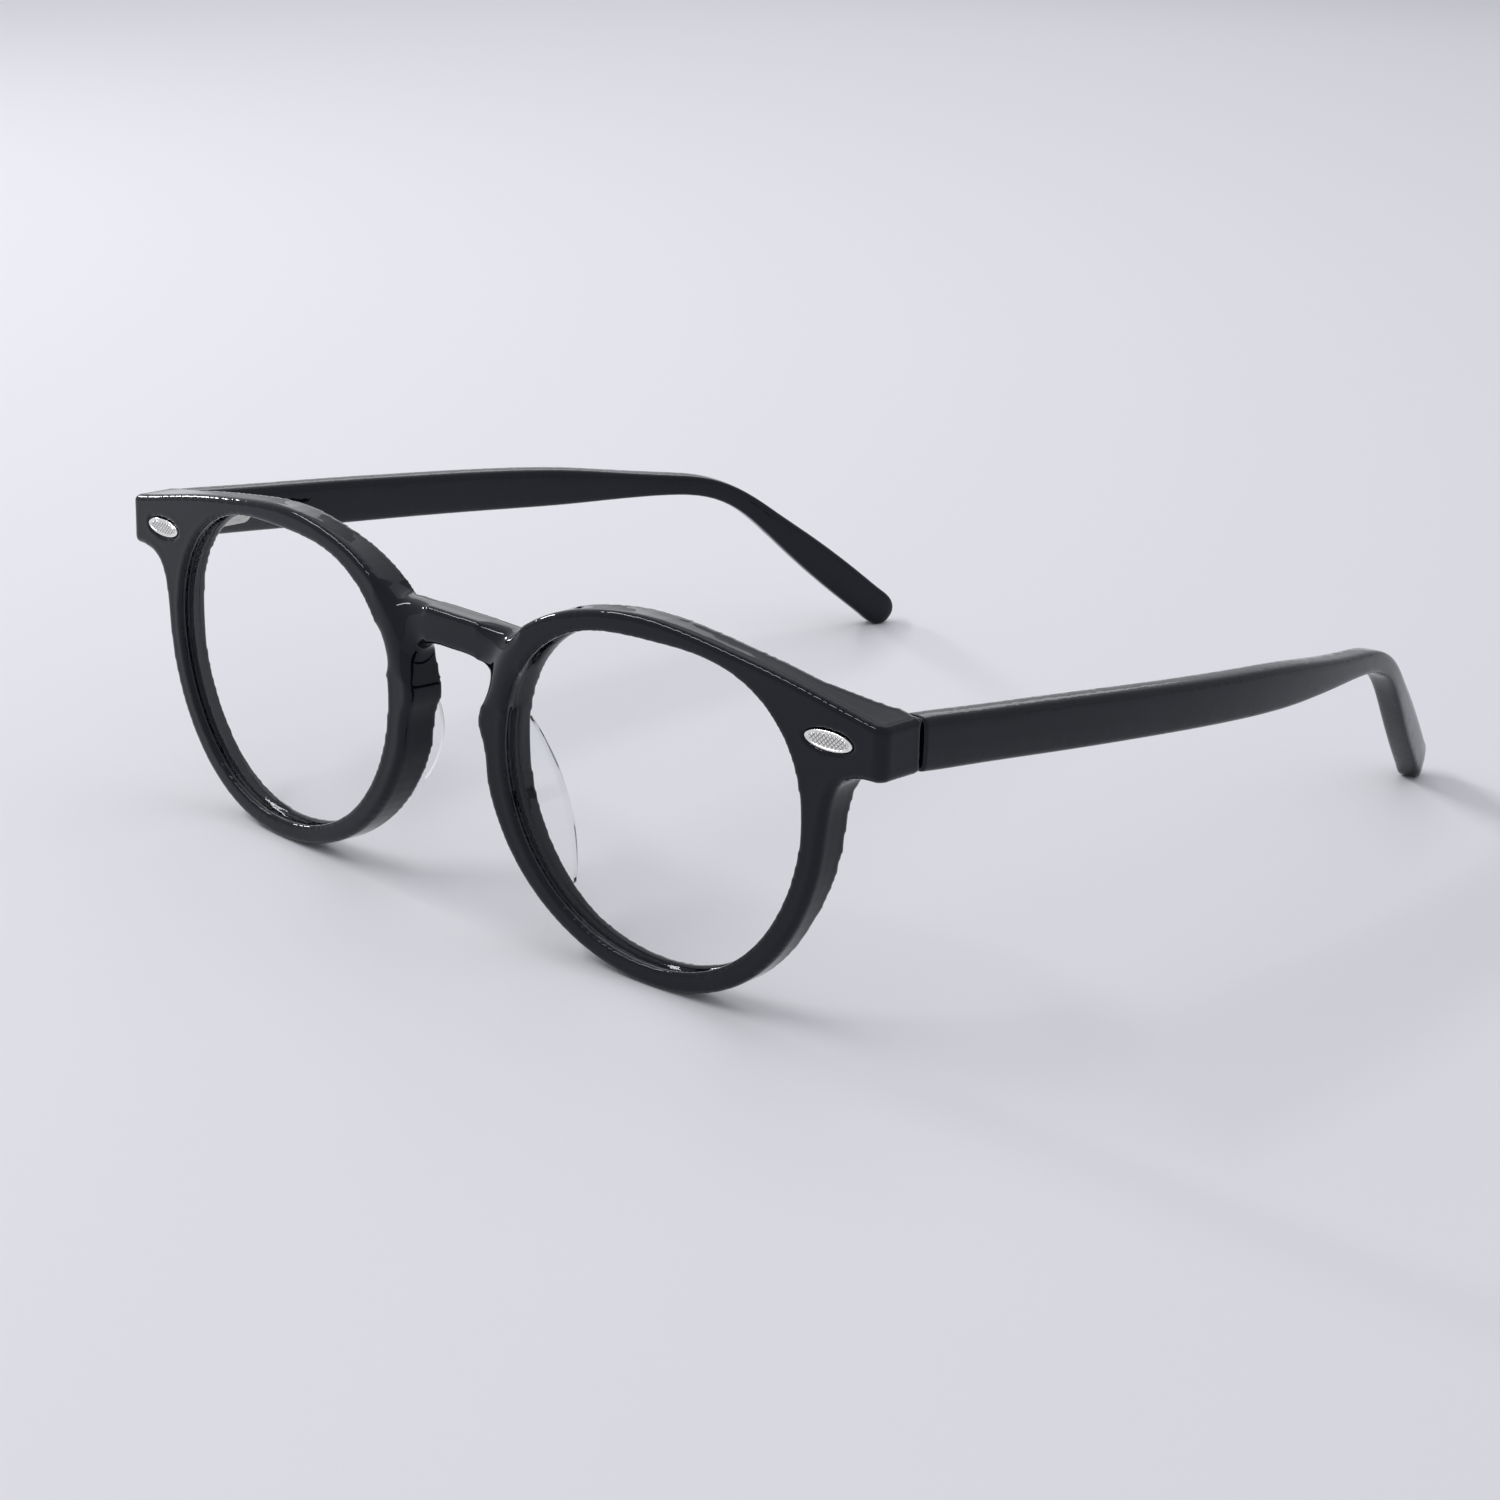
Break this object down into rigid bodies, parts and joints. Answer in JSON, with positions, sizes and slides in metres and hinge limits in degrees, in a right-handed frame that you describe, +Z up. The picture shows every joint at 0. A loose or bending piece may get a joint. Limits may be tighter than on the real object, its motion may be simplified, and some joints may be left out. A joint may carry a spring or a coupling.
{
  "type": "eyeglasses",
  "caption": "Eyeglasses with a thick round-eyed front, keyhole bridge, clear lenses, oval end-piece shields and folding temples that drop behind the ear.",
  "frame": {"origin": "middle of the bounding box at its base: on the surface the open glasses stand on, midway between the two sides and midway from front face to temple tips", "axes": "+X to the wearer's left, -Y the way the wearer looks (the front faces -Y, the temples run towards +Y), +Z up"},
  "size_m": [0.1422, 0.1446, 0.0459],
  "materials": {
    "black_acetate": "high gloss black cellulose acetate",
    "clear_lens": "clear polished demonstration lens",
    "clear_acetate": "clear polished acetate",
    "silver_shield": "silver, finely knurled field and smooth rim",
    "steel_pin": "plain drawn pin",
    "nickel_hinge": "nickel silver, satin",
    "steel_screw": "steel, machined",
    "core_wire": "nickel silver wire, drawn"
  },
  "bodies": {
    "front": {"front_frame": "black_acetate", "left_lens": "clear_lens", "left_nose_pad": "clear_acetate", "left_shield": "silver_shield", "left_shield_pins": "steel_pin", "left_front_hinge": "nickel_hinge", "left_hinge_screw": "steel_screw", "right_lens": "clear_lens", "right_nose_pad": "clear_acetate", "right_shield": "silver_shield", "right_shield_pins": "steel_pin", "right_front_hinge": "nickel_hinge", "right_hinge_screw": "steel_screw"},
    "left_temple_arm": {"left_temple": "black_acetate", "left_temple_hinge": "nickel_hinge", "left_core_wire": "core_wire"},
    "right_temple_arm": {"right_temple": "black_acetate", "right_temple_hinge": "nickel_hinge", "right_core_wire": "core_wire"}
  },
  "joints": [
    {"name": "left_temple_fold", "type": "hinge", "parent": "front", "child": "left_temple_arm", "pos_m": [0.06385, -0.06142, 0.0366], "axis": [0, 0, 1], "range_deg": [0, 86]},
    {"name": "right_temple_fold", "type": "hinge", "parent": "front", "child": "right_temple_arm", "pos_m": [-0.06385, -0.06142, 0.0366], "axis": [0, 0, -1], "range_deg": [0, 76]}
  ]
}
